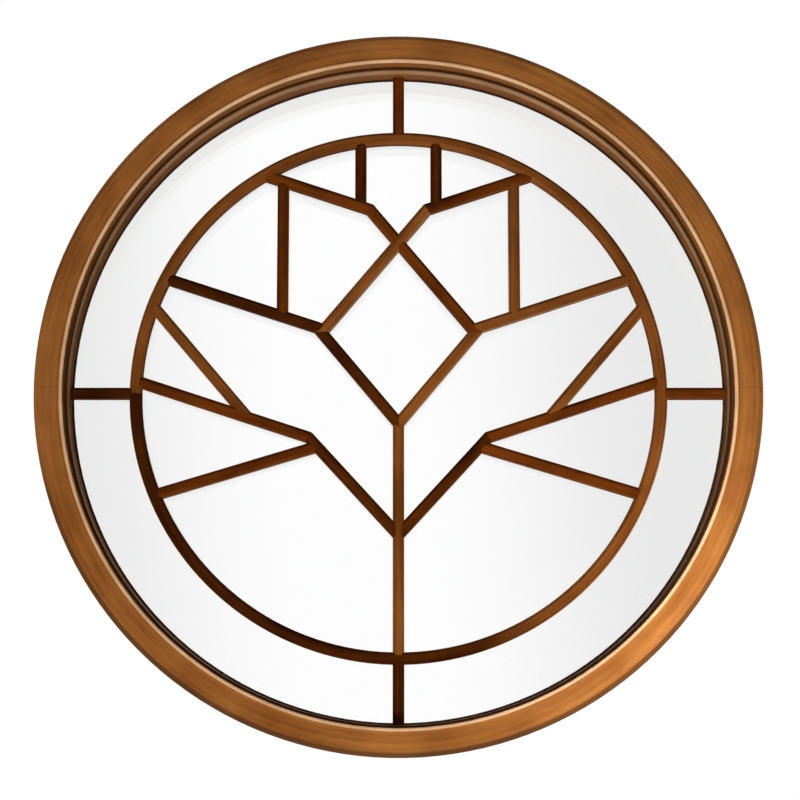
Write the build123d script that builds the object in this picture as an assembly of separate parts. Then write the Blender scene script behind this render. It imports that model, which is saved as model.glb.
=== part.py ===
"""Round fixed window in a timber frame, with a flower of glazing bars on its room side.

Millimetres. +Z is up and the room is towards -Y. The origin is on the window's axis, in the plane of the
wall's room face, where the casing's back lies. Angles round the window start at +X and turn towards +Z.
"""

import os
from math import cos, degrees, radians, sin

from build123d import *

# Casing: the moulded ring that covers the edge of the wall opening, bent in two halves
outer_radius = 500.0
casing_width = 39.5
casing_thickness = 24.0
casing_overhang = 10.0  # how far it reaches past the jamb, over the wall
outer_bevel_width = 7.0
outer_bevel_depth = 6.0
lip_width = 7.0  # the raised lip along the inner edge
lip_bevel = 2.0
lip_drop = 0.6  # the lip's top lies this far behind the flat
slope_width = 11.5  # the flat slopes down to the lip

# Jamb: the deep ring that lines the opening and holds the glass, bent in two halves
jamb_depth = 92.0  # behind the wall's room face
jamb_setback = 3.0  # its inner edge shows inside the casing by this much
rebate_step = 21.5  # height of the glazing stop above the rebate
loose_tongue_length = 50.0
loose_tongue_width = 30.0
loose_tongue_thickness = 8.0

# Glass unit and what beds it
glass_edge_gap = 4.0  # between the glass and the rebate
pane_thickness = 4.0
cavity_width = 16.0
spacer_height = 12.5  # a black foam spacer, sealed to both panes at their edge
gasket_thickness = 3.0
gasket_width = 12.0
gasket_lip = 2.5  # how far the gasket shows inside the stop
rear_tape_thickness = 3.0
rear_tape_width = 8.5
block_inset = 1.0  # blocks are narrower than the glass unit by this much each side
block_clearance = 0.1
setting_block_length = 98.0
location_block_length = 50.0

# Glazing bead on the outside, and the flat headless pins that hold it
bead_width = 13.0
bead_depth = 15.0
bead_chamfer = 5.5
bead_clearance = 0.2
pin_length = 20.0
pin_width = 1.6
pin_thickness = 1.2
pin_sink = 0.4  # pins are driven this far below the bead's face

# Glazing bars
bar_width = 16.0
ring_bar_width = 17.0
bar_depth = 15.0
bar_chamfer = 4.0
bar_tape_thickness = 1.0
bar_tape_inset = 1.0
ring_tape_length = 60.0  # the ring bar has short straight strips
ring_tape_width = 12.0
spoke_reach = 90.0  # from the reveal to the middle of the ring bar
spoke_clearance = 0.3

# Flower drawn by the bars: places from the window's centre, as shares of the ring bar's radius
diamond_top_share = 0.588
diamond_foot_share = -0.114
diamond_half_width_share = 0.294
petal_shoulder_share = 0.110  # where a cross bar ends, across from the centre
petal_upright_share = 0.1456
side_upright_share = 0.445
upper_leaf_rise_share = 0.0136  # the upper leaf bar meets the diamond this far above its corner
leaf_shoulder_shares = (0.3415, -0.1673)
calyx_foot_share = -0.539
lower_leaf_share = 0.309  # where the lower leaf bar meets the calyx bar
leaf_brace_share = 0.573  # where the leaf brace stands on the middle leaf bar

# Where bars meet the ring bar, in degrees
petal_rail_angle = 58.8
upper_leaf_angle = 26.6
leaf_brace_angle = 19.9
middle_leaf_angle = 2.8
lower_leaf_angle = -22.8

# Layout round the ring, in degrees
quarter = 90.0
half_turn = 180.0
setting_block_angles = (240.0, 300.0)
location_block_angles = (0.0, 60.0, 120.0, 180.0)
pin_pitch = 30.0
ring_tape_pitch = 30.0
overrun = 20.0  # how far cutting tools pass the work

# Radii, from the outside in
jamb_outer_radius = outer_radius - casing_overhang
casing_inner_radius = outer_radius - casing_width
jamb_inner_radius = casing_inner_radius - jamb_setback
rebate_radius = jamb_inner_radius + rebate_step
glass_radius = rebate_radius - glass_edge_gap
spacer_radius = glass_radius - spacer_height
sight_radius = jamb_inner_radius - gasket_lip
bead_inner_radius = rebate_radius - bead_width
ring_bar_radius = jamb_inner_radius - spoke_reach  # to the middle of the ring bar

# Depths behind the wall's room face, worked out from the jamb's back
casing_front = -casing_thickness
bead_front = jamb_depth - bead_depth
glass_back = bead_front - rear_tape_thickness
outer_pane_front = glass_back - pane_thickness
cavity_front = outer_pane_front - cavity_width
inner_pane_front = cavity_front - pane_thickness
stop_depth = inner_pane_front - gasket_thickness  # to the back of the glazing stop
pin_depth = bead_front + (bead_depth - bead_chamfer) / 2
bar_back = inner_pane_front - bar_tape_thickness
bar_front = bar_back - bar_depth
bar_middle = (bar_front + bar_back) / 2


def section(points):
    """A closed section in (radius, depth)."""
    return make_face(Polyline(*points, close=True))


def box_section(inner, outer, front, back):
    """A rectangular section of a ring."""
    return section([(inner, front), (outer, front), (outer, back), (inner, back)])


def arc_of(face, start, sweep):
    """A section swept round the window's axis from one angle through another."""
    return Rot(0, -(start + sweep), 0) * revolve(face, Axis.Y, sweep, clean=False)


def ring_of(face):
    """A section swept all the way round."""
    return revolve(face, Axis.Y)


def on_circle(radius, angle):
    """A point (x, z) of the window's face at a radius and an angle."""
    return (radius * cos(radians(angle)), radius * sin(radians(angle)))


def placed(solid, angle):
    """A solid made at the +X side, turned to an angle round the window."""
    return Rot(0, -angle, 0) * solid


def halves(face, start, names):
    """A section swept round in two halves, the first from an angle of its own."""
    return {name: arc_of(face, start + i * half_turn, half_turn) for i, name in enumerate(names)}


# Casing
def casing():
    """A flat, a slope and a lip. The back is two faces in one plane: on the jamb's edge and on the wall."""
    lip_edge = casing_inner_radius + lip_width
    lip_top = casing_front + lip_drop
    face = section([
        (casing_inner_radius, 0),
        (jamb_outer_radius, 0),
        (outer_radius, 0),
        (outer_radius, casing_front + outer_bevel_depth),
        (outer_radius - outer_bevel_width, casing_front),
        (lip_edge + slope_width, casing_front),
        (lip_edge, lip_top + lip_bevel),
        (lip_edge - lip_bevel, lip_top),
        (casing_inner_radius + lip_bevel, lip_top),
        (casing_inner_radius, lip_top + lip_bevel),
    ])
    return halves(face, 0, ("casing_upper", "casing_lower"))


# Jamb
def loose_tongues():
    """One tongue across each of the jamb's joints, set in the thick part in front of the glass."""
    radius = (jamb_inner_radius + jamb_outer_radius) / 2
    depth = stop_depth / 2
    tongue = Pos(radius, depth, 0) * Box(loose_tongue_thickness, loose_tongue_width, loose_tongue_length)
    return [placed(tongue, side * quarter) for side in (1, -1)]


def jamb(tongues, bead_pins):
    face = section([
        (jamb_inner_radius, 0),
        (jamb_outer_radius, 0),
        (jamb_outer_radius, jamb_depth),
        (rebate_radius, jamb_depth),
        (rebate_radius, stop_depth),
        (jamb_inner_radius, stop_depth),
    ])
    rings = halves(face, -quarter, ("jamb_right", "jamb_left"))
    return {name: ring - tongues - bead_pins for name, ring in rings.items()}


# Glass unit and bedding
def glass_unit():
    pane = Rot(-90, 0, 0) * Cylinder(glass_radius, pane_thickness)
    half = pane_thickness / 2
    spacer = box_section(spacer_radius, glass_radius, cavity_front, outer_pane_front)
    return {
        "inner_pane": Pos(0, inner_pane_front + half, 0) * pane,
        "outer_pane": Pos(0, outer_pane_front + half, 0) * pane,
        "edge_spacer": ring_of(spacer),
    }


def block(angle, length):
    """A plastic block that fills the gap between the glass's edge and the rebate."""
    face = box_section(
        glass_radius + block_clearance,
        rebate_radius - block_clearance,
        inner_pane_front + block_inset,
        glass_back - block_inset,
    )
    sweep = degrees(length / glass_radius)
    return arc_of(face, angle - sweep / 2, sweep)


def bedding():
    gasket = box_section(sight_radius, sight_radius + gasket_width, stop_depth, inner_pane_front)
    tape = box_section(glass_radius - rear_tape_width, glass_radius, glass_back, bead_front)
    return {
        "room_gasket": ring_of(gasket),
        "rear_tape": ring_of(tape),
        "setting_blocks": Compound([block(a, setting_block_length) for a in setting_block_angles]),
        "location_blocks": Compound([block(a, location_block_length) for a in location_block_angles]),
    }


# Glazing beads
def pins(start):
    """The bead's pins, evenly round it and pointing outwards, each starting at a radius."""
    length = bead_inner_radius + pin_sink + pin_length - start
    pin = Pos(start + length / 2, pin_depth, 0) * Box(length, pin_thickness, pin_width)
    count = round(2 * half_turn / pin_pitch)
    return [placed(pin, (i + 1 / 2) * pin_pitch) for i in range(count)]


def glazing_beads():
    outer = rebate_radius - bead_clearance
    face = section([
        (outer, bead_front),
        (bead_inner_radius, bead_front),
        (bead_inner_radius, jamb_depth - bead_chamfer),
        (bead_inner_radius + bead_chamfer, jamb_depth),
        (outer, jamb_depth),
    ])
    holes = pins(bead_inner_radius - overrun)
    rings = halves(face, 0, ("glazing_bead_upper", "glazing_bead_lower"))
    return {name: ring - holes for name, ring in rings.items()}


# Glazing bars
def bar_profile(width):
    """A bar's section, across and in depth, with its room edges chamfered."""
    side = width / 2
    flat = side - bar_chamfer
    return [
        (-side, bar_back),
        (-side, bar_front + bar_chamfer),
        (-flat, bar_front),
        (flat, bar_front),
        (side, bar_front + bar_chamfer),
        (side, bar_back),
    ]


def bar(start, end):
    """A straight bar between two points (x, z), run on past both for its joints."""
    way = Vector(end[0] - start[0], 0, end[1] - start[1])
    along = way.normalized()
    run_on = bar_width / 2
    plane = Plane(
        origin=Vector(start[0], 0, start[1]) - along * run_on,
        x_dir=Vector(0, 1, 0).cross(along),
        z_dir=along,
    )
    face = plane * make_face(Polyline(*bar_profile(bar_width), close=True))
    return extrude(face, way.length + 2 * run_on)


def largest(shape):
    return shape.solids().sort_by(SortBy.VOLUME)[-1]


def scribed(piece, *others):
    """A piece cut to fit over the pieces that it runs into."""
    return largest(piece - list(others))


def mitred(piece, corner, own_end, other_end):
    """A piece cut where it meets another at a corner, halfway between the two."""
    at = Vector(corner[0], 0, corner[1])
    own = (Vector(own_end[0], 0, own_end[1]) - at).normalized()
    other = (Vector(other_end[0], 0, other_end[1]) - at).normalized()
    return split(piece, Plane(origin=at, z_dir=own - other), keep=Keep.TOP)


def mirrored(point):
    return (-point[0], point[1])


def on_line(start, end, x):
    """The point of a straight line at a place across."""
    share = (x - start[0]) / (end[0] - start[0])
    return (x, start[1] + share * (end[1] - start[1]))


def ring_bar_section():
    return section([(ring_bar_radius + across, depth) for across, depth in bar_profile(ring_bar_width)])


def ring_bars():
    return halves(ring_bar_section(), 0, ("ring_bar_upper", "ring_bar_lower"))


def flower_half(ring):
    """The ten bars on the right of the stem, each with its end points settled before its joints are cut."""
    top = (0, ring_bar_radius * diamond_top_share)
    foot = (0, ring_bar_radius * diamond_foot_share)
    corner = (ring_bar_radius * diamond_half_width_share, (top[1] + foot[1]) / 2)
    shoulder = on_line(mirrored(corner), top, ring_bar_radius * petal_shoulder_share)
    petal_rim = on_circle(ring_bar_radius, petal_rail_angle)
    leaf_root = (corner[0], corner[1] + ring_bar_radius * upper_leaf_rise_share)
    upper_leaf_rim = on_circle(ring_bar_radius, upper_leaf_angle)
    leaf_shoulder = tuple(ring_bar_radius * share for share in leaf_shoulder_shares)
    middle_leaf_rim = on_circle(ring_bar_radius, middle_leaf_angle)
    calyx_root = (0, ring_bar_radius * calyx_foot_share)
    lower_leaf_root = on_line(calyx_root, leaf_shoulder, ring_bar_radius * lower_leaf_share)
    lower_leaf_rim = on_circle(ring_bar_radius, lower_leaf_angle)
    brace_foot = on_line(leaf_shoulder, middle_leaf_rim, ring_bar_radius * leaf_brace_share)
    brace_rim = on_circle(ring_bar_radius, leaf_brace_angle)
    petal_upright_place = ring_bar_radius * petal_upright_share
    side_upright_place = ring_bar_radius * side_upright_share

    # The bar from the right shoulder crosses the axis and ends at the diamond's left corner
    cross_bar = mitred(bar(shoulder, mirrored(corner)), shoulder, top, petal_rim)
    cross_bar = mitred(cross_bar, mirrored(corner), top, foot)
    diamond_bar = mitred(bar(corner, foot), corner, foot, top)
    diamond_bar = mitred(diamond_bar, foot, corner, mirrored(corner))
    petal_rail = mitred(bar(shoulder, petal_rim), shoulder, petal_rim, top)
    petal_rail = scribed(petal_rail, ring)
    corner_bar = cross_bar.mirror(Plane.YZ)
    upper_leaf = scribed(bar(leaf_root, upper_leaf_rim), ring, corner_bar, diamond_bar)
    middle_leaf = mitred(bar(leaf_shoulder, middle_leaf_rim), leaf_shoulder, middle_leaf_rim, calyx_root)
    middle_leaf = scribed(middle_leaf, ring)
    calyx_bar = mitred(bar(leaf_shoulder, calyx_root), leaf_shoulder, calyx_root, middle_leaf_rim)
    lower_leaf = scribed(bar(lower_leaf_root, lower_leaf_rim), ring, calyx_bar, middle_leaf)
    leaf_brace = scribed(bar(brace_foot, brace_rim), ring, middle_leaf)
    rail_over = on_line(shoulder, petal_rim, petal_upright_place)
    upright_top = (petal_upright_place, ring_bar_radius)
    petal_upright = scribed(bar(rail_over, upright_top), ring, petal_rail)
    rail_above = on_line(shoulder, petal_rim, side_upright_place)
    leaf_below = on_line(leaf_root, upper_leaf_rim, side_upright_place)
    side_upright = scribed(bar(leaf_below, rail_above), ring, petal_rail, upper_leaf)
    return {
        "petal_upright": petal_upright,
        "petal_rail": petal_rail,
        "side_upright": side_upright,
        "cross_bar": cross_bar,
        "diamond_bar": diamond_bar,
        "upper_leaf_bar": upper_leaf,
        "leaf_brace": leaf_brace,
        "middle_leaf_bar": middle_leaf,
        "lower_leaf_bar": lower_leaf,
        "calyx_bar": calyx_bar,
    }


def halved(front_bar, back_bar):
    """Two crossing bars, each cut away where the other passes: the first keeps its room half."""
    reach = 2 * outer_radius
    front_half = Pos(0, bar_middle - reach / 2, 0) * Box(reach, reach, reach)
    return front_bar - (back_bar - front_half), back_bar - (front_bar & front_half)


def spokes(ring):
    """Four bars from the ring bar to the reveal, notched over the gasket."""
    reveal = jamb_inner_radius - spoke_clearance
    lip = sight_radius - spoke_clearance
    notch = stop_depth - spoke_clearance
    beyond = outer_radius + overrun
    frame_edge = ring_of(
        section([
            (reveal, bar_front - overrun),
            (beyond, bar_front - overrun),
            (beyond, bar_back + overrun),
            (lip, bar_back + overrun),
            (lip, notch),
            (reveal, notch),
        ])
    )
    names = ("right", "top", "left", "bottom")
    spoke = scribed(bar((ring_bar_radius, 0), (jamb_inner_radius, 0)), ring, frame_edge)
    return {f"spoke_{name}": placed(spoke, i * quarter) for i, name in enumerate(names)}


def straight_bars():
    """The spokes, the stem and the two halves of the flower, all fitted to the ring bar."""
    ring = ring_of(ring_bar_section())
    bars = spokes(ring)
    right = flower_half(ring)
    left = {name: piece.mirror(Plane.YZ) for name, piece in right.items()}
    right["cross_bar"], left["cross_bar"] = halved(right["cross_bar"], left["cross_bar"])
    stem_top = (0, ring_bar_radius * diamond_foot_share)
    stem = bar(stem_top, (0, -ring_bar_radius))
    stem = scribed(stem, ring, right["diamond_bar"], left["diamond_bar"])
    for side, half in (("right", right), ("left", left)):
        half["calyx_bar"] = scribed(half["calyx_bar"], stem)
        bars.update({f"{name}_{side}": piece for name, piece in half.items()})
    bars["stem_bar"] = stem
    return bars


def bar_tapes(bars):
    """Bonding tape: a strip behind each straight bar, inside its outline, and short ones round the ring."""
    ring_strip = Box(ring_tape_width, bar_tape_thickness, ring_tape_length)
    ring_strip = Pos(ring_bar_radius, bar_back + bar_tape_thickness / 2, 0) * ring_strip
    count = round(2 * half_turn / ring_tape_pitch)
    strips = [placed(ring_strip, (i + 1 / 2) * ring_tape_pitch).solid() for i in range(count)]
    for piece in bars.values():
        for back in piece.faces().group_by(Axis.Y)[-1]:
            outline = offset(back, -bar_tape_inset, kind=Kind.INTERSECTION)
            strips += extrude(outline, bar_tape_thickness, dir=(0, 1, 0)).solids()
    return Compound(strips)


def build():
    bead_pins = pins(bead_inner_radius + pin_sink)
    tongues = loose_tongues()
    bars = straight_bars()
    nodes = casing()
    nodes.update(jamb(tongues, bead_pins))
    nodes["loose_tongues"] = Compound([piece.solid() for piece in tongues])
    nodes.update(glass_unit())
    nodes.update(bedding())
    nodes.update(glazing_beads())
    nodes["bead_pins"] = Compound([piece.solid() for piece in bead_pins])
    nodes.update(ring_bars())
    nodes.update(bars)
    nodes["bar_tapes"] = bar_tapes(bars)
    return nodes


os.makedirs("parts", exist_ok=True)
for node, shape in build().items():
    export_step(shape, f"parts/{node}.step")
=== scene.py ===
"""Finishes for a round fixed window with a flower of glazing bars, and the studio that it is shown in.

Metres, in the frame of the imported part: +Z is up, the room is towards -Y, and the window's axis is Y.
"""

import math

import bpy
import numpy as np
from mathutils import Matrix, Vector

bl_info = {
    "name": "Round Flower Window",
    "version": (1, 0, 0),
    "blender": (4, 5, 0),
    "location": "View3D > Sidebar > Window",
    "description": "Timber, glass and studio finishes for a round fixed window",
    "category": "Object",
}

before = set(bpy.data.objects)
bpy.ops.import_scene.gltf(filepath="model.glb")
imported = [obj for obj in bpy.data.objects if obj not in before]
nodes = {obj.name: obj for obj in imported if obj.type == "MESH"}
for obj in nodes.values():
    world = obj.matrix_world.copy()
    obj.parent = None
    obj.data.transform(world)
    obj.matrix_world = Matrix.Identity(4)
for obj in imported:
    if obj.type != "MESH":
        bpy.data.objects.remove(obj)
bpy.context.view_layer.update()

# Nodes that share a finish
CASING = ("casing_upper", "casing_lower")
JAMB = ("jamb_right", "jamb_left")
BEADS = ("glazing_bead_upper", "glazing_bead_lower")
PANES = ("inner_pane", "outer_pane")
RING_BARS = ("ring_bar_upper", "ring_bar_lower")
BLOCKS = ("setting_blocks", "location_blocks")
TAPES = ("rear_tape", "bar_tapes")
BAR_KINDS = (
    "spoke_",
    "stem_",
    "petal_",
    "side_",
    "cross_",
    "diamond_",
    "calyx_",
    "leaf_",
    "upper_leaf_",
    "middle_leaf_",
    "lower_leaf_",
)
STRAIGHT_BARS = tuple(sorted(name for name in nodes if name.startswith(BAR_KINDS)))

# Bars stained darker and paler: partly the tone of their boards, partly painted shade on the darker and
# painted light on the paler
DARK_BOARD_SHADED_BARS = (
    "spoke_left",
    "spoke_bottom",
    "calyx_bar_left",
    "calyx_bar_right",
    "diamond_bar_left",
    "upper_leaf_bar_left",
    "petal_upright_right",
)
PALE_BOARD_LIT_BARS = (
    "stem_bar",
    "diamond_bar_right",
    "cross_bar_right",
    "side_upright_right",
    "upper_leaf_bar_right",
    "leaf_brace_left",
    "leaf_brace_right",
)

# Where along their boards the bent pieces are cut, and how far apart the straight bars are
BOARD_START = 12.7
BOARD_STEP = 0.37

# Between these angles, going left from its right end, the lower ring bar's wood turns dark: partly its
# board's tone, partly painted shade
BOARD_AND_SHADE_TURN_DARK = (math.radians(42), math.radians(80))

# Mean radii of the bent pieces, along which their grain is measured
CASING_RADIUS = 0.48
JAMB_RADIUS = 0.47
BEAD_RADIUS = 0.46
RING_BAR_RADIUS = 0.3675

# Turns the seam of the jamb's grain to its joints, at the top and the bottom
JAMB_TURN = math.radians(-90)

# Rubbed edges, the painted highlight on the casing's lip and the painted sheen of the reveal's paler band:
# radius, depth, reach and strength of each
# A straight bar has no radius, so its arris has 0
# Painted highlight: the casing's inner lip is stained paler as if lit
CASING_LIP_HIGHLIGHT = (0.4614, -0.0230, 0.0046, 1.0)
# Painted sheen: a paler band on the jamb's reveal, behind the casing
REVEAL_SHEEN_BAND = (0.4575, 0.0140, 0.0120, 0.55)
BEAD_EDGE = (0.4660, 0.0870, 0.0020, 0.5)
RING_BAR_EDGE = (0.3760, 0.0380, 0.0020, 0.6)
BAR_ARRIS = (0.0, 0.0380, 0.0012, 0.6)
EDGE_INPUTS = ("Edge radius", "Edge depth", "Reach", "Strength")

# Painted shade on the casing's lower outer edge: radii of its outer edge, and heights below the window's
# axis
LOW_SHADE_RADII = (0.4915, 0.4945)
LOW_SHADE_HEIGHTS = (-0.02, -0.33)

# How far behind the casing the painted shade in the corner reaches down the jamb
CORNER_DEPTHS = (0.0015, 0.0045)

# Waves per metre along, across and through the grain
FIGURE_WAVES = (2.2, 26, 26)
STREAK_WAVES = (5, 210, 210)
CLOUD_WAVES = (13, 24, 24)
PORE_WAVES = (60, 1700, 1700)

# Shares in the wood's tone, and the part of it that runs from dark to light
FIGURE_SHARE = 0.36
STREAK_SHARE = 0.30
CLOUD_SHARE = 0.34
TONE_RANGE = (0.38, 0.62)

# Pores of the wood: the noise that makes them, and their shade, roughness and depth
PORE_RANGE = (0.60, 0.72)
PORE_SHADE = 0.62
PORE_ROUGHNESS = 0.12
PORE_DEPTH = -0.7

# Patches of the rub and of the painted highlight, and the least of it between them
RUB_AND_HIGHLIGHT_PATCHES = (0.3, 0.6)
RUB_AND_HIGHLIGHT_LEAST = 0.6

# Lacquer, and the strength of the wood's relief in it
GLOSS_TINT = (1.0, 0.78, 0.58, 1.0)
LACQUER_ROUGHNESS = (0.34, 0.46)
GRAIN_RELIEF = 0.6

# Bare wood of the loose tongues
BARE_LIGHT = (0.62, 0.44, 0.27)
BARE_DARK = (0.42, 0.27, 0.14)
BARE_GLOSS = 0.3

# Rubber, foam, plastic and steel: waves per metre and shades of their cloud, and strength of their relief
GRIT_CLOUD = 30
GRIT_SHADES = (0.75, 1.2)
GRIT_RELIEF = 0.5

# Glass: its smears in waves per metre, and the share of a lamp's light that each face lets through
GLASS_IOR = 1.52
SMEAR_WAVES = (9, 9, 4)
SMEAR_RANGE = (0.45, 0.75)
SMEAR_ROUGHNESS = 0.015
GLASS_SHADOW = (0.88, 0.88, 0.88, 1.0)

# Most values of a noise lie between these
NOISE_RANGE = (0.3, 0.7)

# Joining of the CAD faces, and the least angle of an edge that is eased
WELD_REACH = 0.00001
EASED_FROM = math.radians(25)
EASE_STEPS = 3

# Lights: name, place, aim, width, spread in degrees, and the setting that holds their power
LIGHTS = (
    ("near_light", (0.398, -0.35, -0.334), (0.368, 0, -0.309), 0.16, 180, "near_power"),
    ("fill_light", (-0.55, -3.0, -1.45), (0, 0, 0), 0.6, 60, "fill_power"),
    ("left_light", (-2.1, 0.05, 1.5), (0, 0.05, 0), 0.3, 180, "side_power"),
    ("right_light", (2.1, 0.05, 1.5), (0, 0.05, 0), 0.3, 180, "side_power"),
    ("back_light", (0.5, 2.8, 1.9), (0, 0.05, -0.1), 2.0, 180, "back_power"),
)

# The upright strip that is reflected from the camera's side: lean, place, fading edges, strength and ends
STRIP_LEAN = 0.09
STRIP_ASIDE = 0.01
STRIP_FADES = (0.03, 0.155)
STRIP_STRENGTH = 1.15
STRIP_ENDS = (-0.3, 0.0)

# What is reflected from behind the window: where it starts, and its strength
BEHIND_STARTS = (-0.4, 0.2)
BEHIND_STRENGTH = 0.04

# Floor: size, cloud, the distances over which it fades to white, and how strongly its white is reflected
FLOOR_RADIUS = 14
FLOOR_SIDES = 96
FLOOR_CLOUD = 3
FLOOR_SHADES = (0.985, 1.0)
FLOOR_ROUGHNESS = 0.9
FLOOR_FADES = (0.5, 3.5)
FLOOR_LEAST_WHITE = 0.6
FLOOR_MIRRORED = 0.12

SENSOR_WIDTH = 36  # millimetres
WHITE = (1, 1, 1, 1)


# Settings
class TimberFinish(bpy.types.PropertyGroup):
    """Stain, lacquer and eased edges of the timber."""

    frame_light: bpy.props.FloatVectorProperty(
        name="Frame stain, light",
        description="Stain where the frame's wood takes it least",
        subtype="COLOR",
        min=0,
        max=1,
        default=(0.44, 0.163, 0.036),
    )
    frame_dark: bpy.props.FloatVectorProperty(
        name="Frame stain, dark",
        description="Stain in the darker streaks of the frame's wood",
        subtype="COLOR",
        min=0,
        max=1,
        default=(0.235, 0.071, 0.013),
    )
    # Painted shade: darkens the casing's outer edge, more towards the bottom
    frame_painted_shade: bpy.props.FloatProperty(
        name="Painted shade, lower edge",
        description="How far the stain is darkened by painted shade along the casing's lower outer edge",
        subtype="FACTOR",
        min=0,
        max=1,
        default=0.6,
    )
    # Painted shade: darkens the jamb in its corner behind the casing
    corner_shade_strength: bpy.props.FloatProperty(
        name="Painted shade, corner",
        description="How far the stain is darkened by painted shade in the corner of casing and jamb",
        subtype="FACTOR",
        min=0,
        max=1,
        default=0.85,
    )
    bar_light: bpy.props.FloatVectorProperty(
        name="Bar stain, light",
        description="Stain where the bars' wood takes it least",
        subtype="COLOR",
        min=0,
        max=1,
        default=(0.200, 0.046, 0.0045),
    )
    bar_dark: bpy.props.FloatVectorProperty(
        name="Bar stain, dark",
        description="Stain in the darker streaks of the bars' wood",
        subtype="COLOR",
        min=0,
        max=1,
        default=(0.042, 0.007, 0.001),
    )
    # Painted shade on the darker bars, besides their board's tone
    bar_deepened_and_shaded: bpy.props.FloatProperty(
        name="Dark, shaded bars",
        description="How far the stain is deepened on bars of the darker boards, which also carry painted shade",
        subtype="FACTOR",
        min=0,
        max=1,
        default=0.5,
    )
    # Painted light on the paler bars, besides their board's tone
    bar_paled_and_lit: bpy.props.FloatProperty(
        name="Pale, lit bars",
        description="How far bars of the paler boards, which also carry painted light, come towards the frame's stain",
        subtype="FACTOR",
        min=0,
        max=1,
        default=0.46,
    )
    # Also the colour of the painted highlight on the casing's lip and of the painted sheen on the reveal
    frame_rub_and_highlight: bpy.props.FloatVectorProperty(
        name="Frame stain, rubbed and highlit",
        description="Stain on the frame's rubbed edges, and painted highlight on the casing's lip and the reveal",
        subtype="COLOR",
        min=0,
        max=1,
        default=(0.95, 0.58, 0.31),
    )
    bar_rubbed: bpy.props.FloatVectorProperty(
        name="Bar stain, rubbed",
        description="Stain on the bars' edges, where it is rubbed thin",
        subtype="COLOR",
        min=0,
        max=1,
        default=(0.30, 0.085, 0.014),
    )
    casing_ease: bpy.props.FloatProperty(
        name="Casing edge",
        description="How far the casing's sharp edges are rounded",
        unit="LENGTH",
        min=0,
        default=0.0009,
    )
    frame_ease: bpy.props.FloatProperty(
        name="Frame edge",
        description="How far the edges of the jamb and the beads are rounded",
        unit="LENGTH",
        min=0,
        default=0.0008,
    )
    bar_ease: bpy.props.FloatProperty(
        name="Bar edge",
        description="How far the edges of the glazing bars are rounded",
        unit="LENGTH",
        min=0,
        default=0.0006,
    )
    frame_gloss: bpy.props.FloatProperty(
        name="Frame lacquer",
        description="How strongly the lacquer on the frame reflects; 0.5 is a plain varnish",
        subtype="FACTOR",
        min=0,
        max=1,
        default=0.34,
    )
    bar_gloss: bpy.props.FloatProperty(
        name="Bar lacquer",
        description="How strongly the lacquer on the bars reflects; 0.5 is a plain varnish",
        subtype="FACTOR",
        min=0,
        max=1,
        default=0.10,
    )
    grain_bump: bpy.props.FloatProperty(
        name="Grain depth",
        description="How deep the grain stands in the lacquer",
        unit="LENGTH",
        min=0,
        default=0.00015,
    )


class GlazingFinish(bpy.types.PropertyGroup):
    """Glass, seals, blocks and pins."""

    glass_tint: bpy.props.FloatVectorProperty(
        name="Glass tint",
        description="Colour of the glass",
        subtype="COLOR",
        min=0,
        max=1,
        default=(0.979, 0.982, 0.980),
    )
    rubber: bpy.props.FloatVectorProperty(
        name="Rubber",
        description="Colour of the spacer at the glass's edge",
        subtype="COLOR",
        min=0,
        max=1,
        default=(0.008, 0.008, 0.009),
    )
    gasket: bpy.props.FloatVectorProperty(
        name="Gasket",
        description="Colour of the rubber gasket round the glass, on the room side",
        subtype="COLOR",
        min=0,
        max=1,
        default=(0.045, 0.020, 0.010),
    )
    tape: bpy.props.FloatVectorProperty(
        name="Tape",
        description="Colour of the foam tapes",
        subtype="COLOR",
        min=0,
        max=1,
        default=(0.085, 0.045, 0.024),
    )
    blocks: bpy.props.FloatVectorProperty(
        name="Blocks",
        description="Colour of the plastic blocks round the glass",
        subtype="COLOR",
        min=0,
        max=1,
        default=(0.05, 0.12, 0.30),
    )
    steel: bpy.props.FloatVectorProperty(
        name="Pins",
        description="Colour of the bead pins' steel",
        subtype="COLOR",
        min=0,
        max=1,
        default=(0.52, 0.51, 0.49),
    )


class StudioSettings(bpy.types.PropertyGroup):
    """Camera, floor and light."""

    camera_distance: bpy.props.FloatProperty(
        name="Camera distance",
        description="From the camera to the window's centre",
        unit="LENGTH",
        default=2.751,
    )
    camera_elevation: bpy.props.FloatProperty(
        name="Camera elevation",
        description="How far the camera stands above the window's axis; below it is negative",
        subtype="ANGLE",
        default=math.radians(-8.66),
    )
    camera_lens: bpy.props.FloatProperty(
        name="Lens",
        description="Focal length on a 36 mm sensor, in millimetres",
        default=89.76,
    )
    camera_shift: bpy.props.FloatVectorProperty(
        name="Shift",
        description="How far the picture is moved across and up, as shares of its width",
        size=2,
        default=(0.0019, -0.0134),
    )
    floor_height: bpy.props.FloatProperty(
        name="Floor height",
        description="Height of the floor from the window's centre; below it is negative",
        unit="LENGTH",
        default=-1.6,
    )
    floor_colour: bpy.props.FloatVectorProperty(
        name="Floor",
        description="Colour of the floor",
        subtype="COLOR",
        min=0,
        max=1,
        default=(0.86, 0.86, 0.85),
    )
    near_power: bpy.props.FloatProperty(
        name="Near light",
        description="Power of the small light close to the window at the lower right",
        unit="POWER",
        default=1.45,
    )
    fill_power: bpy.props.FloatProperty(
        name="Fill light",
        description="Power of the light behind the camera",
        unit="POWER",
        default=11.4,
    )
    back_power: bpy.props.FloatProperty(
        name="Back light",
        description="Power of the wide light above and behind the window",
        unit="POWER",
        default=62,
    )
    side_power: bpy.props.FloatProperty(
        name="Side lights",
        description="Power of each of the two lights over the frame's sides",
        unit="POWER",
        default=11.0,
    )
    ambient: bpy.props.FloatProperty(
        name="Ambient",
        description="Strength of the light from all round",
        default=0.05,
    )


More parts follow.
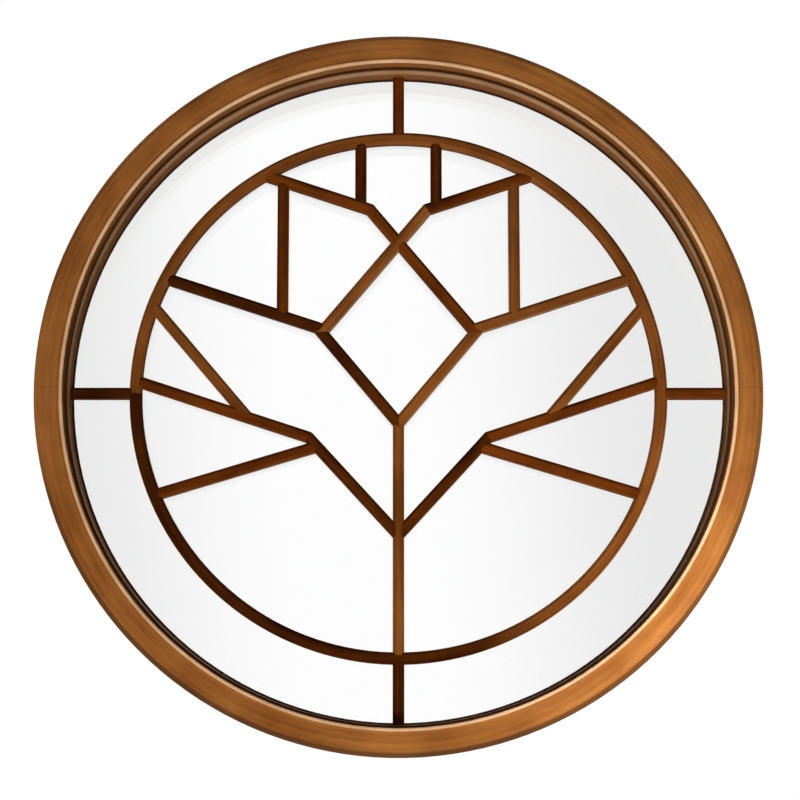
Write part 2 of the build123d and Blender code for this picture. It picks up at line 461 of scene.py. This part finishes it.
# Node trees
def add(tree, kind, inputs=None, **settings):
    """A node with its settings, and its inputs set to values or joined to other nodes' outputs."""
    made = tree.nodes.new(kind)
    for name, value in settings.items():
        setattr(made, name, value)
    for key, value in (inputs or {}).items():
        if isinstance(value, bpy.types.NodeSocket):
            tree.links.new(value, made.inputs[key])
        else:
            made.inputs[key].default_value = value
    return made


def math_node(tree, operation, *values):
    """The result of a sum, product or other operation on values."""
    return add(tree, "ShaderNodeMath", dict(enumerate(values)), operation=operation).outputs["Value"]


def rescaled(tree, value, low, high, new_low, new_high, ease="LINEAR"):
    """A value moved from one range to another and held inside it."""
    inputs = {"Value": value, "From Min": low, "From Max": high, "To Min": new_low, "To Max": new_high}
    return add(tree, "ShaderNodeMapRange", inputs, interpolation_type=ease).outputs["Result"]


def mixed(tree, share, first, second, blend="MIX"):
    """Two colours mixed by a share."""
    inputs = {"Fac": share, "Color1": first, "Color2": second}
    return add(tree, "ShaderNodeMixRGB", inputs, blend_type=blend).outputs["Color"]


def shaded(tree, colour, shade):
    """A colour made darker or lighter by a factor."""
    grey = add(tree, "ShaderNodeCombineColor", {"Red": shade, "Green": shade, "Blue": shade})
    return mixed(tree, 1.0, colour, grey.outputs["Color"], blend="MULTIPLY")


def own_place(tree):
    """Where each point lies in the part's frame."""
    return add(tree, "ShaderNodeTexCoord").outputs["Object"]


def parts_of(tree, vector):
    """The three parts of a vector."""
    return add(tree, "ShaderNodeSeparateXYZ", {"Vector": vector}).outputs


def length_of(tree, vector):
    return add(tree, "ShaderNodeVectorMath", {0: vector}, operation="LENGTH").outputs["Value"]


def noise(tree, place, scale, detail, distortion=0.0):
    inputs = {"Vector": place, "Scale": scale, "Detail": detail, "Distortion": distortion}
    return add(tree, "ShaderNodeTexNoise", inputs).outputs["Fac"]


def stretched_noise(tree, place, waves, detail, distortion=0.0):
    """Noise with its own waves per metre in each direction of a place."""
    mapping = add(tree, "ShaderNodeMapping", {"Vector": place, "Scale": waves})
    return noise(tree, mapping.outputs["Vector"], 1, detail, distortion)


def new_group(name, inputs, outputs):
    """An empty node group, with its input sockets and the sockets that it puts out."""
    tree = bpy.data.node_groups.new(name, "ShaderNodeTree")
    for label, kind in inputs:
        tree.interface.new_socket(label, in_out="INPUT", socket_type=kind)
    for label, kind in outputs:
        tree.interface.new_socket(label, in_out="OUTPUT", socket_type=kind)
    given = tree.nodes.new("NodeGroupInput").outputs
    put_out = tree.nodes.new("NodeGroupOutput").inputs
    return tree, given, put_out


def placed_group(tree, group, inputs):
    """What a node group puts out, with its inputs set for one material."""
    return add(tree, "ShaderNodeGroup", inputs, node_tree=group).outputs


def bent_grain_group():
    """Turns a place in the window into one along, across and through a bent ring of two matched halves."""
    name = "Bent grain"
    if name in bpy.data.node_groups:
        return bpy.data.node_groups[name]
    tree, given, put_out = new_group(
        name,
        [("Position", "NodeSocketVector"), ("Ring radius", "NodeSocketFloat")],
        [("Place", "NodeSocketVector")],
    )
    parts = parts_of(tree, given["Position"])
    angle = math_node(tree, "ABSOLUTE", math_node(tree, "ARCTAN2", parts["Z"], parts["X"]))
    flat = add(tree, "ShaderNodeCombineXYZ", {"X": parts["X"], "Y": parts["Z"]}).outputs["Vector"]
    radius = length_of(tree, flat)
    along = math_node(tree, "MULTIPLY", angle, given["Ring radius"])
    place = add(tree, "ShaderNodeCombineXYZ", {"X": along, "Y": radius, "Z": parts["Y"]})
    tree.links.new(place.outputs["Vector"], put_out["Place"])
    return tree


def rub_and_highlight_group():
    """Mask of a rubbed edge or a painted highlight: full within a third of its reach, and falling softly
    to 0 at it.
    """
    name = "Rubbed edge"
    if name in bpy.data.node_groups:
        return bpy.data.node_groups[name]
    tree, given, put_out = new_group(
        name,
        [(label, "NodeSocketFloat") for label in ("Radius", "Depth", *EDGE_INPUTS)],
        [("Rub", "NodeSocketFloat")],
    )
    full = math_node(tree, "DIVIDE", given["Reach"], 3)
    rub_and_highlight = given["Strength"]
    for place, edge in (("Radius", "Edge radius"), ("Depth", "Edge depth")):
        away = math_node(tree, "ABSOLUTE", math_node(tree, "SUBTRACT", given[place], given[edge]))
        near = rescaled(tree, away, full, given["Reach"], 1, 0, ease="SMOOTHSTEP")
        rub_and_highlight = math_node(tree, "MULTIPLY", rub_and_highlight, near)
    tree.links.new(rub_and_highlight, put_out["Rub"])
    return tree


def stained_wood_group():
    """Stained and lacquered wood: figure, streaks, cloud and pores, and paler along rubbed edges and
    painted highlights.
    """
    name = "Stained wood"
    if name in bpy.data.node_groups:
        return bpy.data.node_groups[name]
    tree, given, put_out = new_group(
        name,
        [
            ("Place", "NodeSocketVector"),
            ("Light", "NodeSocketColor"),
            ("Dark", "NodeSocketColor"),
            ("Rubbed", "NodeSocketColor"),
            ("Rub", "NodeSocketFloat"),
        ],
        [("Color", "NodeSocketColor"), ("Roughness", "NodeSocketFloat"), ("Height", "NodeSocketFloat")],
    )
    place = given["Place"]
    figure = stretched_noise(tree, place, FIGURE_WAVES, detail=3, distortion=0.7)
    streaks = stretched_noise(tree, place, STREAK_WAVES, detail=4)
    cloud = stretched_noise(tree, place, CLOUD_WAVES, detail=2)
    grain = stretched_noise(tree, place, PORE_WAVES, detail=2)
    pores = rescaled(tree, grain, *PORE_RANGE, 0, 1)
    tone = math_node(tree, "MULTIPLY", figure, FIGURE_SHARE)
    tone = math_node(tree, "MULTIPLY_ADD", streaks, STREAK_SHARE, tone)
    tone = math_node(tree, "MULTIPLY_ADD", cloud, CLOUD_SHARE, tone)
    tone = rescaled(tree, tone, *TONE_RANGE, 0, 1)
    colour = mixed(tree, tone, given["Dark"], given["Light"])
    patches = rescaled(tree, cloud, *RUB_AND_HIGHLIGHT_PATCHES, RUB_AND_HIGHLIGHT_LEAST, 1)
    colour = mixed(tree, math_node(tree, "MULTIPLY", given["Rub"], patches), colour, given["Rubbed"])
    colour = shaded(tree, colour, rescaled(tree, pores, 0, 1, 1, PORE_SHADE))
    roughness = rescaled(tree, streaks, *NOISE_RANGE, *LACQUER_ROUGHNESS)
    roughness = math_node(tree, "MULTIPLY_ADD", pores, PORE_ROUGHNESS, roughness)
    height = math_node(tree, "MULTIPLY_ADD", pores, PORE_DEPTH, streaks)
    tree.links.new(colour, put_out["Color"])
    tree.links.new(roughness, put_out["Roughness"])
    tree.links.new(height, put_out["Height"])
    return tree


def fine_grit_group():
    """Fine moulded or foamed surface: a speckle for colour and roughness, and a height."""
    name = "Fine grit"
    if name in bpy.data.node_groups:
        return bpy.data.node_groups[name]
    tree, given, put_out = new_group(
        name,
        [("Color", "NodeSocketColor"), ("Scale", "NodeSocketFloat")],
        [("Color", "NodeSocketColor"), ("Mask", "NodeSocketFloat"), ("Height", "NodeSocketFloat")],
    )
    place = own_place(tree)
    speckle = noise(tree, place, given["Scale"], detail=3)
    cloud = noise(tree, place, GRIT_CLOUD, detail=2)
    mask = rescaled(tree, speckle, *NOISE_RANGE, 0, 1)
    colour = shaded(tree, given["Color"], rescaled(tree, cloud, *NOISE_RANGE, *GRIT_SHADES))
    tree.links.new(colour, put_out["Color"])
    tree.links.new(mask, put_out["Mask"])
    tree.links.new(speckle, put_out["Height"])
    return tree


# Materials
def new_material(name, **sockets):
    """A material with one Principled shader, and the constant values of its sockets."""
    material = bpy.data.materials.new(name)
    material.use_nodes = True
    tree = material.node_tree
    shader = tree.nodes["Principled BSDF"]
    for socket, value in sockets.items():
        shader.inputs[socket.replace("_", " ")].default_value = value
    return material, tree, shader


def opaque(colour):
    return (*colour, 1.0)


def raise_relief(tree, shader, height, strength, bump):
    """Joins a height to a shader as a relief of a given depth."""
    relief = add(tree, "ShaderNodeBump", {"Height": height, "Strength": strength, "Distance": bump})
    tree.links.new(relief.outputs["Normal"], shader.inputs["Normal"])


def mix_surface(tree, share, first, second):
    """Joins two shaders, mixed by a share, to a material's surface."""
    mix = add(tree, "ShaderNodeMixShader", {"Fac": share, 1: first, 2: second})
    tree.links.new(mix.outputs["Shader"], tree.nodes["Material Output"].inputs["Surface"])


def rub_and_highlight_mask(tree, edge, radius, depth):
    """The mask of a rubbed edge, from the radius and the depth of each place."""
    inputs = {"Radius": radius, "Depth": depth, **dict(zip(EDGE_INPUTS, edge))}
    return placed_group(tree, rub_and_highlight_group(), inputs)["Rub"]


def finish_wood(tree, shader, place, stain, bump, rub_and_highlight):
    """Joins the grain to a wood material's shader. Its edges are rubbed, and highlights painted, where the
    mask says.
    """
    light, dark, rubbed = stain
    inputs = {"Place": place, "Light": light, "Dark": dark, "Rubbed": rubbed, "Rub": rub_and_highlight}
    grain = placed_group(tree, stained_wood_group(), inputs)
    tree.links.new(grain["Color"], shader.inputs["Base Color"])
    tree.links.new(grain["Roughness"], shader.inputs["Roughness"])
    raise_relief(tree, shader, grain["Height"], GRAIN_RELIEF, bump)


def turned_dark_and_shaded(tree, position, place):
    """The share of the darker wood along the lower ring bar's board, partly painted shade on its left
    part.
    """
    start, end = (RING_BAR_RADIUS * angle for angle in BOARD_AND_SHADE_TURN_DARK)
    return rescaled(tree, place["X"], start, end, 0, 1, ease="SMOOTHSTEP")


def low_edge_painted_shade(tree, position, place):
    """The share of painted shade along the casing's outer edge, growing downwards."""
    low = rescaled(tree, parts_of(tree, position)["Z"], *LOW_SHADE_HEIGHTS, 0, 1)
    return math_node(tree, "MULTIPLY", low, rescaled(tree, place["Y"], *LOW_SHADE_RADII, 0, 1))


def painted_corner_shade(tree, position, place):
    """The share of painted shade on the jamb in its corner with the casing."""
    return rescaled(tree, place["Z"], *CORNER_DEPTHS, 1, 0)


def bent_wood(name, stain, bump, ring_radius, edge, turn=0.0, second=None):
    """Wood bent round the window, with its grain round the ring and the grain's seam turned to a joint.

    The rubbed edge, painted highlight or painted sheen is given by its radius and depth, and by its reach
    and strength.
    A second stain comes with the function that gives its share at each place: painted shade on the casing
    and the jamb, and the darker, partly shaded wood of the lower ring bar.
    """
    *stain, gloss = stain
    stain = [opaque(colour) for colour in stain]
    material, tree, shader = new_material(name, Specular_IOR_Level=gloss, Specular_Tint=GLOSS_TINT)
    position = own_place(tree)
    turned = add(tree, "ShaderNodeMapping", {"Vector": position, "Rotation": (0, turn, 0)})
    inputs = {"Position": turned.outputs["Vector"], "Ring radius": ring_radius}
    place = placed_group(tree, bent_grain_group(), inputs)["Place"]
    parts = parts_of(tree, place)
    place = add(tree, "ShaderNodeVectorMath", {0: place, 1: (BOARD_START, 0, 0)}).outputs["Vector"]
    if second:
        (*other, _), share_at = second
        share = share_at(tree, position, parts)
        stain = [mixed(tree, share, colour, opaque(changed)) for colour, changed in zip(stain, other)]
    finish_wood(tree, shader, place, stain, bump, rub_and_highlight_mask(tree, edge, parts["Y"], parts["Z"]))
    return material


def straight_wood(name, stain, bump, angle, offset):
    """Wood of a straight bar, with its grain along the bar, cut from its own place in the board."""
    *stain, gloss = stain
    stain = [opaque(colour) for colour in stain]
    material, tree, shader = new_material(name, Specular_IOR_Level=gloss, Specular_Tint=GLOSS_TINT)
    position = own_place(tree)
    inputs = {"Vector": position, "Rotation": (0, angle, 0), "Location": (offset, offset, 0)}
    place = add(tree, "ShaderNodeMapping", inputs).outputs["Vector"]
    rub_and_highlight = rub_and_highlight_mask(tree, BAR_ARRIS, 0.0, parts_of(tree, position)["Y"])
    finish_wood(tree, shader, place, stain, bump, rub_and_highlight)
    return material


def clear_glass(name, tint):
    """Glass that lets the lamps' light through, with faint smears."""
    material, tree, shader = new_material(name, Transmission_Weight=1.0, IOR=GLASS_IOR)
    shader.inputs["Base Color"].default_value = opaque(tint)
    smears = stretched_noise(tree, own_place(tree), SMEAR_WAVES, detail=3, distortion=1.2)
    roughness = rescaled(tree, smears, *SMEAR_RANGE, 0, SMEAR_ROUGHNESS)
    tree.links.new(roughness, shader.inputs["Roughness"])
    clear = add(tree, "ShaderNodeBsdfTransparent", {"Color": GLASS_SHADOW}).outputs["BSDF"]
    shadow = add(tree, "ShaderNodeLightPath").outputs["Is Shadow Ray"]
    mix_surface(tree, shadow, shader.outputs["BSDF"], clear)
    return material


def gritty(name, colour, scale, smooth, rough, bump, **sockets):
    """Rubber, foam, plastic or steel: a fine grit in its colour, roughness and surface."""
    material, tree, shader = new_material(name, **sockets)
    grit = placed_group(tree, fine_grit_group(), {"Color": opaque(colour), "Scale": scale})
    tree.links.new(grit["Color"], shader.inputs["Base Color"])
    tree.links.new(rescaled(tree, grit["Mask"], 0, 1, smooth, rough), shader.inputs["Roughness"])
    raise_relief(tree, shader, grit["Height"], GRIT_RELIEF, bump)
    return material


# Stains: light, dark and rubbed, and the gloss of the lacquer
def frame_stain(timber):
    return timber.frame_light, timber.frame_dark, timber.frame_rub_and_highlight, timber.frame_gloss


def bar_stain(timber):
    return timber.bar_light, timber.bar_dark, timber.bar_rubbed, timber.bar_gloss


def deepened(stain, share):
    """A stain made darker by a share."""
    *colours, gloss = stain
    return *(Vector(colour) * (1 - share) for colour in colours), gloss


def deep_shaded_stain(timber):
    """The stain of bars cut from the darker boards, which also carries painted shade."""
    return deepened(bar_stain(timber), timber.bar_deepened_and_shaded)


def pale_lit_stain(timber):
    """The stain of bars cut from the paler boards, nearer to the frame's, which also carries painted
    light.
    """
    *stain, gloss = bar_stain(timber)
    pairs = zip(stain, frame_stain(timber))
    return *(Vector(bar).lerp(Vector(paler), timber.bar_paled_and_lit) for bar, paler in pairs), gloss


def stain_for(timber, name):
    """The stain of a bar, by the board that it is cut from, with painted shade on the darker bars and
    painted light on the paler.
    """
    if name in DARK_BOARD_SHADED_BARS:
        return deep_shaded_stain(timber)
    return pale_lit_stain(timber) if name in PALE_BOARD_LIT_BARS else bar_stain(timber)


# Dressing the CAD nodes
def dress(names, material, ease=0.0):
    """Gives nodes a material, and rounds their sharp edges by modifiers alone."""
    for name in names:
        node = nodes[name]
        node.data.materials.clear()
        node.data.materials.append(material)
        weld = node.modifiers.new("Joined faces", "WELD")
        weld.merge_threshold = WELD_REACH
        if ease:
            bevel = node.modifiers.new("Eased edges", "BEVEL")
            bevel.width = ease
            bevel.segments = EASE_STEPS
            bevel.limit_method = "ANGLE"
            bevel.angle_limit = EASED_FROM
        normals = node.modifiers.new("Flat faces", "WEIGHTED_NORMAL")
        normals.keep_sharp = True


def long_direction(name):
    """The angle, in the window's face, of the direction in which a bar is longest."""
    places = np.array([vertex.co for vertex in nodes[name].data.vertices])[:, (0, 2)]
    spread = places - places.mean(axis=0)
    along = np.linalg.eigh(spread.T @ spread)[1][:, -1]
    return math.atan2(along[1], along[0])


class WINDOW_OT_casing(bpy.types.Operator):
    """Stain and lacquer the moulded casing, with its grain round the ring"""

    bl_idname = "round_window.casing"
    bl_label = "Casing"

    def execute(self, context):
        timber = context.scene.window_timber
        bump = timber.grain_bump
        stain = frame_stain(timber)
        # Painted shade along the casing's lower outer edge
        painted_shade = deepened(stain, timber.frame_painted_shade), low_edge_painted_shade
        # The casing's lip carries a painted highlight
        wood = bent_wood("casing_wood", stain, bump, CASING_RADIUS, CASING_LIP_HIGHLIGHT, second=painted_shade)
        dress(CASING, wood, timber.casing_ease)
        return {"FINISHED"}


class WINDOW_OT_jamb(bpy.types.Operator):
    """Stain and lacquer the jamb, and leave its loose tongues as plain wood"""

    bl_idname = "round_window.jamb"
    bl_label = "Jamb"

    def execute(self, context):
        timber = context.scene.window_timber
        bump = timber.grain_bump
        stain = frame_stain(timber)
        # Painted shade in the jamb's corner with the casing
        painted_shade = deepened(stain, timber.corner_shade_strength), painted_corner_shade
        # The jamb's reveal carries a band of painted sheen
        wood = bent_wood("jamb_wood", stain, bump, JAMB_RADIUS, REVEAL_SHEEN_BAND, JAMB_TURN, painted_shade)
        dress(JAMB, wood, timber.frame_ease)
        bare = (BARE_LIGHT, BARE_DARK, BARE_LIGHT, BARE_GLOSS)
        plain = straight_wood("tongue_wood", bare, bump, angle=0, offset=0)
        dress(("loose_tongues",), plain, timber.frame_ease)
        return {"FINISHED"}


class WINDOW_OT_glazing_beads(bpy.types.Operator):
    """Stain and lacquer the outside beads, and give their pins a bare steel finish"""

    bl_idname = "round_window.glazing_beads"
    bl_label = "Glazing beads and pins"

    def execute(self, context):
        timber = context.scene.window_timber
        glazing = context.scene.window_glazing
        wood = bent_wood("bead_wood", frame_stain(timber), timber.grain_bump, BEAD_RADIUS, BEAD_EDGE)
        dress(BEADS, wood, timber.frame_ease)
        steel = gritty(
            "pin_steel", glazing.steel, scale=2500, smooth=0.25, rough=0.45, bump=0.00002, Metallic=1.0
        )
        dress(("bead_pins",), steel)
        return {"FINISHED"}


class WINDOW_OT_glazing_bars(bpy.types.Operator):
    """Stain the ring bar and the straight bars darker than the frame, each with its grain along it"""

    bl_idname = "round_window.glazing_bars"
    bl_label = "Glazing bars"

    def execute(self, context):
        timber = context.scene.window_timber
        bump = timber.grain_bump
        pale = pale_lit_stain(timber)
        # The lower ring bar darkens towards its left part, partly painted shade
        for name, second in zip(RING_BARS, (None, (deep_shaded_stain(timber), turned_dark_and_shaded))):
            wood = bent_wood(f"{name}_wood", pale, bump, RING_BAR_RADIUS, RING_BAR_EDGE, second=second)
            dress((name,), wood, timber.bar_ease)
        for i, name in enumerate(STRAIGHT_BARS):
            # Darker bars carry painted shade and paler bars painted light
            stain = stain_for(timber, name)
            wood = straight_wood(f"{name}_wood", stain, bump, long_direction(name), BOARD_STEP * i)
            dress((name,), wood, timber.bar_ease)
        return {"FINISHED"}


class WINDOW_OT_glass_unit(bpy.types.Operator):
    """Clear glass in both panes, and the black spacer round their edge"""

    bl_idname = "round_window.glass_unit"
    bl_label = "Glass unit"

    def execute(self, context):
        glazing = context.scene.window_glazing
        dress(PANES, clear_glass("clear_glass", glazing.glass_tint))
        spacer = gritty("spacer_foam", glazing.rubber, scale=900, smooth=0.55, rough=0.8, bump=0.0001)
        dress(("edge_spacer",), spacer)
        return {"FINISHED"}


class WINDOW_OT_bedding(bpy.types.Operator):
    """Rubber gasket, foam tapes and plastic blocks that bed the glass"""

    bl_idname = "round_window.bedding"
    bl_label = "Gasket, tapes and blocks"

    def execute(self, context):
        glazing = context.scene.window_glazing
        rubber = gritty("gasket_rubber", glazing.gasket, scale=700, smooth=0.5, rough=0.7, bump=0.00005)
        dress(("room_gasket",), rubber)
        foam = gritty("foam_tape", glazing.tape, scale=1200, smooth=0.7, rough=0.95, bump=0.0001)
        dress(TAPES, foam)
        plastic = gritty("block_plastic", glazing.blocks, scale=400, smooth=0.3, rough=0.5, bump=0.00005)
        dress(BLOCKS, plastic)
        return {"FINISHED"}


# Studio
def seen_share(tree, mirrored=1.0):
    """1 for what the camera sees, straight or through glass, and 0 for the light on surfaces.

    What it sees by way of a reflection counts as the given share.
    """
    path = add(tree, "ShaderNodeLightPath").outputs
    seen = math_node(tree, "MAXIMUM", path["Is Camera Ray"], path["Is Transmission Ray"])
    seen = math_node(tree, "MAXIMUM", seen, path["Is Glossy Ray"])
    reflected = math_node(tree, "MINIMUM", path["Glossy Depth"], 1.0)
    return math_node(tree, "MULTIPLY", seen, rescaled(tree, reflected, 0, 1, 1, mirrored))


def area_light(name, place, aim, size, spread, power):
    """A soft round light, aimed at a point. It fans out by an angle in degrees, and no mirror shows it."""
    lamp = bpy.data.lights.new(name, "AREA")
    lamp.shape = "DISK"
    lamp.size = size
    lamp.energy = power
    lamp.spread = math.radians(spread)
    light = bpy.data.objects.new(name, lamp)
    light.location = place
    light.rotation_mode = "QUATERNION"
    light.rotation_quaternion = (Vector(aim) - Vector(place)).to_track_quat("-Z", "Y")
    light.visible_camera = False
    light.visible_transmission = False
    light.visible_glossy = False
    bpy.context.scene.collection.objects.link(light)


def white_world(ambient):
    """White wherever it is seen, and plain soft light on surfaces.

    Reflections show it dimmer: an upright strip on the camera's side, and a faint grey behind the window.
    """
    world = bpy.data.worlds.new("studio")
    world.use_nodes = True
    tree = world.node_tree
    background = tree.nodes["Background"]
    background.inputs["Color"].default_value = WHITE
    way = parts_of(tree, add(tree, "ShaderNodeTexCoord").outputs["Generated"])
    leaning = math_node(tree, "MULTIPLY_ADD", way["Z"], STRIP_LEAN, way["X"])
    aside = math_node(tree, "ABSOLUTE", math_node(tree, "ADD", leaning, STRIP_ASIDE))
    strip = rescaled(tree, aside, *STRIP_FADES, STRIP_STRENGTH, 0, ease="SMOOTHSTEP")
    strip = math_node(tree, "MULTIPLY", strip, rescaled(tree, way["Y"], *STRIP_ENDS, 1, 0))
    behind = rescaled(tree, way["Y"], *BEHIND_STARTS, 0, BEHIND_STRENGTH)
    seen = seen_share(tree, math_node(tree, "MAXIMUM", strip, behind))
    lit = math_node(tree, "SUBTRACT", 1.0, seen_share(tree))
    strength = math_node(tree, "MULTIPLY_ADD", lit, ambient, seen)
    tree.links.new(strength, background.inputs["Strength"])
    bpy.context.scene.world = world


def floor_material(colour):
    """Pale floor that fades to the white of the background away from the window."""
    material, tree, shader = new_material("studio_floor", Roughness=FLOOR_ROUGHNESS)
    place = own_place(tree)
    cloud = noise(tree, place, FLOOR_CLOUD, detail=2)
    pale = shaded(tree, opaque(colour), rescaled(tree, cloud, *NOISE_RANGE, *FLOOR_SHADES))
    tree.links.new(pale, shader.inputs["Base Color"])
    white = add(tree, "ShaderNodeEmission", {"Color": WHITE, "Strength": 1.0}).outputs["Emission"]
    fade = rescaled(tree, length_of(tree, place), *FLOOR_FADES, FLOOR_LEAST_WHITE, 1)
    share = math_node(tree, "MULTIPLY", fade, seen_share(tree, FLOOR_MIRRORED))
    mix_surface(tree, share, shader.outputs["BSDF"], white)
    return material


class WINDOW_OT_studio(bpy.types.Operator):
    """Camera, soft lights, white surroundings and a pale floor"""

    bl_idname = "round_window.studio"
    bl_label = "Studio"

    def execute(self, context):
        scene = context.scene
        studio = scene.window_studio
        scene.view_settings.view_transform = "Standard"
        white_world(studio.ambient)
        self.make_camera(scene, studio)
        self.make_floor(studio)
        for *light, power in LIGHTS:
            area_light(*light, getattr(studio, power))
        return {"FINISHED"}

    def make_camera(self, scene, studio):
        camera = bpy.data.objects.new("camera", bpy.data.cameras.new("camera"))
        reach = studio.camera_distance
        rise = studio.camera_elevation
        camera.location = (0, -reach * math.cos(rise), reach * math.sin(rise))
        camera.rotation_mode = "QUATERNION"
        camera.rotation_quaternion = (-camera.location).to_track_quat("-Z", "Y")
        camera.data.lens = studio.camera_lens
        camera.data.sensor_width = SENSOR_WIDTH
        camera.data.shift_x, camera.data.shift_y = studio.camera_shift
        scene.collection.objects.link(camera)
        scene.camera = camera

    def make_floor(self, studio):
        bpy.ops.mesh.primitive_circle_add(
            vertices=FLOOR_SIDES,
            radius=FLOOR_RADIUS,
            fill_type="NGON",
            location=(0, 0, studio.floor_height),
        )
        floor = bpy.context.object
        floor.name = "studio_floor"
        floor.data.materials.append(floor_material(studio.floor_colour))


OPERATORS = (
    WINDOW_OT_casing,
    WINDOW_OT_jamb,
    WINDOW_OT_glazing_beads,
    WINDOW_OT_glazing_bars,
    WINDOW_OT_glass_unit,
    WINDOW_OT_bedding,
    WINDOW_OT_studio,
)


class WINDOW_PT_sidebar(bpy.types.Panel):
    """Settings and steps of the round window"""

    bl_idname = "WINDOW_PT_sidebar"
    bl_label = "Round Flower Window"
    bl_space_type = "VIEW_3D"
    bl_region_type = "UI"
    bl_category = "Window"

    def draw(self, context):
        scene = context.scene
        for settings in (scene.window_timber, scene.window_glazing, scene.window_studio):
            box = self.layout.box()
            for name in settings.__annotations__:
                box.prop(settings, name)
        for operator in OPERATORS:
            self.layout.operator(operator.bl_idname)


CLASSES = (TimberFinish, GlazingFinish, StudioSettings, *OPERATORS, WINDOW_PT_sidebar)


def register():
    for cls in CLASSES:
        bpy.utils.register_class(cls)
    bpy.types.Scene.window_timber = bpy.props.PointerProperty(type=TimberFinish)
    bpy.types.Scene.window_glazing = bpy.props.PointerProperty(type=GlazingFinish)
    bpy.types.Scene.window_studio = bpy.props.PointerProperty(type=StudioSettings)


def unregister():
    del bpy.types.Scene.window_studio
    del bpy.types.Scene.window_glazing
    del bpy.types.Scene.window_timber
    for cls in reversed(CLASSES):
        bpy.utils.unregister_class(cls)


def main():
    register()
    bpy.ops.round_window.casing()
    bpy.ops.round_window.jamb()
    bpy.ops.round_window.glazing_beads()
    bpy.ops.round_window.glazing_bars()
    bpy.ops.round_window.glass_unit()
    bpy.ops.round_window.bedding()
    bpy.ops.round_window.studio()


if __name__ == "__main__":
    main()
